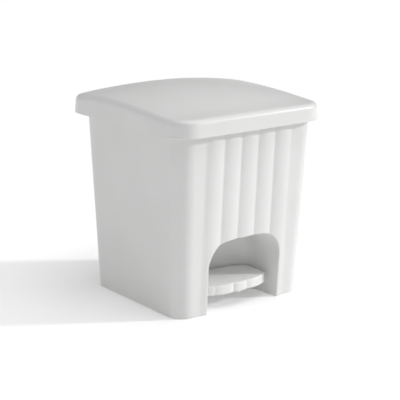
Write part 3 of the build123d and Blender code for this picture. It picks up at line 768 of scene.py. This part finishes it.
def make_pedal(material):
    mesh = Mesh()
    make_tread(mesh)
    piece = mesh.build("pedal_tread")
    finish_piece(piece, "pedal", material, ["pedal_lever"])
    mesh = Mesh()
    rib = box_outline((SCALLOP_Y + 1.5, RIB_REAR_Y), (RIB_LOW_Z, TREAD_TOP_Z - 1.0))
    mesh.plate(rib, -RIB_HALF_X, RIB_HALF_X)
    arm = [(ARM_FRONT_Y, 24.0), (-36, 11.5), (pivot_y, pivot_z - 5)]
    arm += [(pivot_y, pivot_z + 5), (-38, 30.5), (ARM_FRONT_Y, 30.0)]
    prong = hull((REAR_PIN_Y, pivot_z), (pivot_y, pivot_z), 4.0, 5.0)
    for side in (-1, 1):
        mesh.plate(arm, side * ARM_X[0], side * ARM_X[1])
        mesh.plate(prong, side * FORK_X[0], side * FORK_X[1])
    web = box_outline((pivot_y, REAR_PIN_Y - 14.0), (pivot_z - 3.5, pivot_z - 1.0))
    mesh.plate(web, -FORK_X[0] - 1.0, FORK_X[0] + 1.0)
    mesh.plate(circle(pivot_y, pivot_z, BARREL_R), -BARREL_HALF_X, BARREL_HALF_X)
    piece = mesh.build("pedal_arms")
    bevel(piece, 0.4, 40)
    return finish_piece(piece, "pedal", material, ["pedal_lever"])


# ---- Inner bucket ------------------------------------------------------------------------------

BUCKET_RIM_Z = 214.0
BUCKET_WALL = 1.8
BUCKET_GAP = 5.0
BUCKET_REAR_GAP = 17.0
BUCKET_STEP_Y = BODY_Y - 26.0
BUCKET_STEP_Z = 98.0
BUCKET_CORNER_R = 22.0
BUCKET_FLANGE = 3.0
BUCKET_ROUND = 4.0
BAIL_EAR_X = 98.7
BAIL_EAR_THICKNESS = 2.2
BAIL_PIVOT_Z = 218.5


def bucket_half(z, inset):
    """Right half of the bucket's plan at height z, and how many of its points lie behind the step."""
    down = TOP_Z - z
    gap = WALL + BUCKET_GAP + inset
    half_x = TOP_HALF_X - TAPER_X * down - gap
    front = front_y(z) + gap
    rear = REAR_TOP_Y - TAPER_Y * down - WALL - BUCKET_REAR_GAP - inset
    radius = BUCKET_CORNER_R - inset
    step = BUCKET_STEP_Y + inset
    turn = np.radians(np.linspace(90, 0, 13))
    inner_x = half_x - radius
    points = [(x, rear) for x in np.linspace(0, inner_x, 14, endpoint=False)]
    points += [(inner_x + radius * math.cos(a), rear - radius + radius * math.sin(a)) for a in turn]
    points += [(half_x, y) for y in np.linspace(rear - radius, step, 16)[1:]]
    behind = len(points)
    points += [(half_x, y) for y in np.linspace(step, front + radius, 8)[1:]]
    turn = turn[::-1][1:]
    points += [(inner_x + radius * math.cos(a), front + radius - radius * math.sin(a)) for a in turn]
    points += [(x, front) for x in np.linspace(inner_x, 0, 14)[1:]]
    return np.array(points), behind


def bucket_loop(z, inset, flat_front=0.0):
    """The bucket's outline at height z; flat_front draws the part ahead of the step back to the step."""
    half, behind = bucket_half(z, inset)
    ahead = half[behind:]
    wall = np.linspace(half[behind - 1, 0], 0, len(ahead) + 1)[1:]
    back = np.column_stack([wall, np.full(len(wall), half[behind - 1, 1])])
    half[behind:] = ahead + (back - ahead) * flat_front
    loop = np.concatenate([half[:-1], (half[:0:-1]) * (-1, 1)])
    return np.column_stack([loop, np.full(len(loop), z)])


def bucket_skin(mesh, inset, floor_z, step_z, rim):
    """One skin of the bucket, from its rim loop down to its floor, with the step over the foot niche."""
    high = [rim] + [bucket_loop(z, inset) for z in np.linspace(rim[0, 2], step_z, 18)[1:]]
    mesh.grid(high, closed=True)
    shelf = [bucket_loop(step_z, inset, t) for t in np.linspace(0, 1, 7)]
    mesh.grid(shelf, closed=True)
    low = [bucket_loop(z, inset, 1.0) for z in np.linspace(step_z, floor_z, 9)]
    mesh.grid(low, closed=True)
    mesh.cap(low[-1])


def make_bucket(material):
    mesh = Mesh()
    outer = bucket_loop(BUCKET_RIM_Z - 2.0, 0.0)
    profile = [(-2.4, -2.0), (-2.85, -1.8), (-BUCKET_FLANGE, -1.3), (-2.9, -0.6), (-2.5, -0.15), (-1.9, 0.0)]
    profile += [(0.9, 0.0), (1.5, -0.2), (BUCKET_WALL, -0.8)]
    rim = [outer] + [bucket_loop(BUCKET_RIM_Z + rise, inset) for inset, rise in profile]
    mesh.grid(rim, closed=True)
    bucket_skin(mesh, 0.0, FLOOR_Z, BUCKET_STEP_Z, rim[0])
    bucket_skin(mesh, BUCKET_WALL, FLOOR_Z + BUCKET_WALL, BUCKET_STEP_Z + BUCKET_WALL, rim[-1])
    piece = mesh.build("inner_bucket_shell")
    bevel(piece, BUCKET_ROUND, 60, 5)
    finish_piece(piece, "base", material, ["inner_bucket"])
    mesh = Mesh()
    lug = hull((BODY_Y, BUCKET_RIM_Z), (BODY_Y, BAIL_PIVOT_Z), 7.0, 4.0)
    lug[:, 1] = np.maximum(lug[:, 1], BUCKET_RIM_Z - 1)
    for side in (-1, 1):
        centre = side * BAIL_EAR_X
        mesh.plate(lug, centre - BAIL_EAR_THICKNESS / 2, centre + BAIL_EAR_THICKNESS / 2)
    ears = mesh.build("inner_bucket_ears")
    bevel(ears, 0.4, 40)
    return finish_piece(ears, "base", material, ["inner_bucket"])


# ---- Materials ---------------------------------------------------------------------------------

WEAR_SCALE = 120.0
WEAR_POLISH = 0.1
BUMP_STRENGTH = 0.35
SURFACE_IOR = 1.49


def noise(nodes, links, source, scale, detail, roughness=0.5):
    texture = nodes.new("ShaderNodeTexNoise")
    texture.inputs["Scale"].default_value = scale
    texture.inputs["Detail"].default_value = detail
    texture.inputs["Roughness"].default_value = roughness
    links.new(source, texture.inputs["Vector"])
    return texture.outputs["Fac"]


def ramp(nodes, links, source, low, high, from_low=0.0, from_high=1.0):
    mapped = nodes.new("ShaderNodeMapRange")
    mapped.inputs["From Min"].default_value = from_low
    mapped.inputs["From Max"].default_value = from_high
    mapped.inputs["To Min"].default_value = low
    mapped.inputs["To Max"].default_value = high
    links.new(source, mapped.inputs["Value"])
    return mapped.outputs["Result"]


def mix_colour(nodes, links, factor, low, high):
    mixed = nodes.new("ShaderNodeMix")
    mixed.data_type = "RGBA"
    mixed.inputs["A"].default_value = (*low, 1)
    mixed.inputs["B"].default_value = (*high, 1)
    links.new(factor, mixed.inputs["Factor"])
    return mixed.outputs["Result"]


def edge_share(nodes, links, place, scale):
    """How worn each spot is, 0 to 1: outer edges and corners, broken up by noise."""
    sharpness = nodes.new("ShaderNodeNewGeometry").outputs["Pointiness"]
    edges = ramp(nodes, links, sharpness, 0.0, 1.0, 0.52, 0.60)
    patches = ramp(nodes, links, noise(nodes, links, place, scale, 4.0, 0.65), 0.0, 1.0, 0.38, 0.62)
    both = nodes.new("ShaderNodeMath")
    both.operation = "MULTIPLY"
    links.new(edges, both.inputs[0])
    links.new(patches, both.inputs[1])
    return both.outputs["Value"]


def surface(name, low, high, rough, metallic=0.0, grain=900.0, grain_depth=0.02, blotch=14.0, worn=None):
    """A moulded, drawn or cut surface: colour drift, fine grain, uneven gloss and, if worn, rubbed edges."""
    material = bpy.data.materials.new(name)
    material.use_nodes = True
    nodes, links = material.node_tree.nodes, material.node_tree.links
    shader = nodes["Principled BSDF"]
    shader.inputs["Metallic"].default_value = metallic
    shader.inputs["IOR"].default_value = SURFACE_IOR
    place = nodes.new("ShaderNodeTexCoord").outputs["Object"]
    drift = noise(nodes, links, place, blotch, 3.0)
    share = ramp(nodes, links, drift, 0.0, 1.0, 0.35, 0.65)
    colour = mix_colour(nodes, links, share, low, high)
    gloss = noise(nodes, links, place, blotch * 9, 4.0, 0.6)
    dullness = ramp(nodes, links, gloss, rough - 0.05, rough + 0.05, 0.3, 0.7)
    if worn:
        wear = edge_share(nodes, links, place, WEAR_SCALE)
        rubbed = mix_colour(nodes, links, wear, low, worn)
        links.new(colour, rubbed.node.inputs["A"])
        colour = rubbed
        polish = nodes.new("ShaderNodeMath")
        polish.operation = "MULTIPLY_ADD"
        polish.inputs[1].default_value = -WEAR_POLISH
        links.new(wear, polish.inputs[0])
        links.new(dullness, polish.inputs[2])
        dullness = polish.outputs["Value"]
    links.new(colour, shader.inputs["Base Color"])
    links.new(dullness, shader.inputs["Roughness"])
    fine = noise(nodes, links, place, grain, 2.0)
    bump = nodes.new("ShaderNodeBump")
    bump.inputs["Strength"].default_value = BUMP_STRENGTH
    bump.inputs["Distance"].default_value = grain_depth * MM
    links.new(fine, bump.inputs["Height"])
    links.new(bump.outputs["Normal"], shader.inputs["Normal"])
    return material


MATERIALS = {
    "shell_white": surface(
        "shell_white", (0.765, 0.77, 0.76), (0.785, 0.79, 0.78), 0.34, worn=(0.82, 0.825, 0.815)
    ),
    # pedal_white is a slightly lighter white than shell_white. Part of that is the pedal's own whiter plastic, and
    # part is painted light that lifts the tread out of the foot niche's shade.
    "pedal_white": surface(
        "pedal_white", (0.825, 0.83, 0.82), (0.845, 0.85, 0.84), 0.36, worn=(0.86, 0.86, 0.85)
    ),
    "bucket_grey": surface(
        "bucket_grey", (0.42, 0.44, 0.45), (0.46, 0.48, 0.49), 0.5, worn=(0.56, 0.58, 0.59)
    ),
    "nylon_natural": surface(
        "nylon_natural", (0.70, 0.67, 0.58), (0.75, 0.72, 0.64), 0.42, worn=(0.80, 0.78, 0.71)
    ),
    "rubber_grey": surface(
        "rubber_grey", (0.025, 0.025, 0.027), (0.04, 0.04, 0.042), 0.75,
        grain_depth=0.05, worn=(0.07, 0.07, 0.07)
    ),
    "steel_wire": surface(
        "steel_wire", (0.55, 0.56, 0.57), (0.62, 0.63, 0.64), 0.28, 1.0, 1600.0, 0.01, worn=(0.74, 0.74, 0.74)
    ),
    "steel_pin": surface(
        "steel_pin", (0.52, 0.53, 0.54), (0.60, 0.61, 0.62), 0.32, 1.0, 1600.0, 0.01, worn=(0.72, 0.72, 0.72)
    ),
}


def dress_cad_nodes():
    slots = {row["node"]: row["material_slot"] for row in frame["record"]["subparts"]}
    for name, node in frame["nodes"].items():
        node.data.materials.clear()
        node.data.materials.append(MATERIALS[slots[name]])


# ---- Stage, light and camera -------------------------------------------------------------------

FLOOR_HALF = 6.0
FLOOR_GLOW = 0.18
SKY_LOW = 0.0
SKY_HIGH = 0.48
HORIZON_FADE = (0.02, 0.06)
LAMP_DISTANCE = 3.0
# Each lamp: bearing from straight in front of the bin towards its right, elevation, spread, strength
LAMPS = {
    "key": (58.0, 22.0, 5.0, 1.62),
    "key_halo": (25.0, 78.0, 50.0, 1.20),
    "left_fill": (-125.0, 15.0, 30.0, 0.15),
}


def make_floor():
    mesh = bpy.data.meshes.new("floor")
    reach = (-FLOOR_HALF, FLOOR_HALF)
    mesh.from_pydata([(x, y, 0) for x, y in box_outline(reach, reach)], [], [(0, 1, 2, 3)])
    floor = bpy.data.objects.new("floor", mesh)
    bpy.context.scene.collection.objects.link(floor)
    paper = surface("floor_white", (0.95, 0.95, 0.95), (0.97, 0.97, 0.97), 0.8, blotch=2.0)
    shader = paper.node_tree.nodes["Principled BSDF"]
    shader.inputs["Emission Color"].default_value = (1, 1, 1, 1)
    shader.inputs["Emission Strength"].default_value = FLOOR_GLOW
    floor.data.materials.append(paper)


def soft_sun(name, bearing, elevation, spread, strength):
    """A distant lamp; its bearing turns from straight in front of the bin towards the bin's right."""
    data = bpy.data.lights.new(name, "SUN")
    data.energy = strength
    data.angle = math.radians(spread)
    light = bpy.data.objects.new(name, data)
    b, e = math.radians(bearing), math.radians(elevation)
    towards = Vector((math.sin(b) * math.cos(e), -math.cos(b) * math.cos(e), math.sin(e)))
    light.location = towards * LAMP_DISTANCE
    light.rotation_euler = (-towards).to_track_quat("-Z", "Y").to_euler()
    bpy.context.scene.collection.objects.link(light)


def make_world():
    """A soft studio sky that brightens overhead, with a pale band at the horizon where it meets the floor."""
    world = bpy.data.worlds.new("studio")
    bpy.context.scene.world = world
    world.use_nodes = True
    nodes, links = world.node_tree.nodes, world.node_tree.links
    background = nodes["Background"]
    background.inputs["Color"].default_value = (1.0, 1.0, 1.0, 1)
    parts = nodes.new("ShaderNodeSeparateXYZ")
    links.new(nodes.new("ShaderNodeTexCoord").outputs["Generated"], parts.inputs["Vector"])
    total = nodes.new("ShaderNodeMath")
    total.operation = "ADD"
    links.new(ramp(nodes, links, parts.outputs["Z"], SKY_LOW, SKY_HIGH), total.inputs[0])
    links.new(ramp(nodes, links, parts.outputs["Z"], 1.0, 0.0, *HORIZON_FADE), total.inputs[1])
    links.new(total.outputs["Value"], background.inputs["Strength"])


CAMERA_AZIMUTH = -38.55
CAMERA_ELEVATION = 14.83
CAMERA_DISTANCE = 1.5405
CAMERA_TARGET = (0.00456, -0.0052, 0.1143)
CAMERA_LENS = 109.4
CAMERA_ROLL = 0.54


def make_camera():
    a, e = math.radians(CAMERA_AZIMUTH), math.radians(CAMERA_ELEVATION)
    back = Vector((math.sin(a) * math.cos(e), -math.cos(a) * math.cos(e), math.sin(e)))
    data = bpy.data.cameras.new("camera")
    data.sensor_width = 36.0
    data.lens = CAMERA_LENS
    data.clip_start, data.clip_end = 0.05, 50.0
    camera = bpy.data.objects.new("camera", data)
    camera.location = Vector(CAMERA_TARGET) + back * CAMERA_DISTANCE
    turn = (-back).to_track_quat("-Z", "Y").to_matrix().to_4x4()
    camera.rotation_euler = (turn @ Matrix.Rotation(math.radians(CAMERA_ROLL), 4, "Z")).to_euler()
    bpy.context.scene.collection.objects.link(camera)
    bpy.context.scene.camera = camera


# ---- Make everything ---------------------------------------------------------------------------

dress_cad_nodes()
make_outer_body(MATERIALS["shell_white"])
make_body_fittings(MATERIALS["shell_white"])
make_lid(MATERIALS["shell_white"])
make_lid_fittings(MATERIALS["shell_white"])
make_pedal(MATERIALS["pedal_white"])
make_bucket(MATERIALS["bucket_grey"])
make_floor()
make_world()
for lamp, setting in LAMPS.items():
    soft_sun(lamp, *setting)
make_camera()
bpy.context.scene.view_settings.view_transform = "Standard"
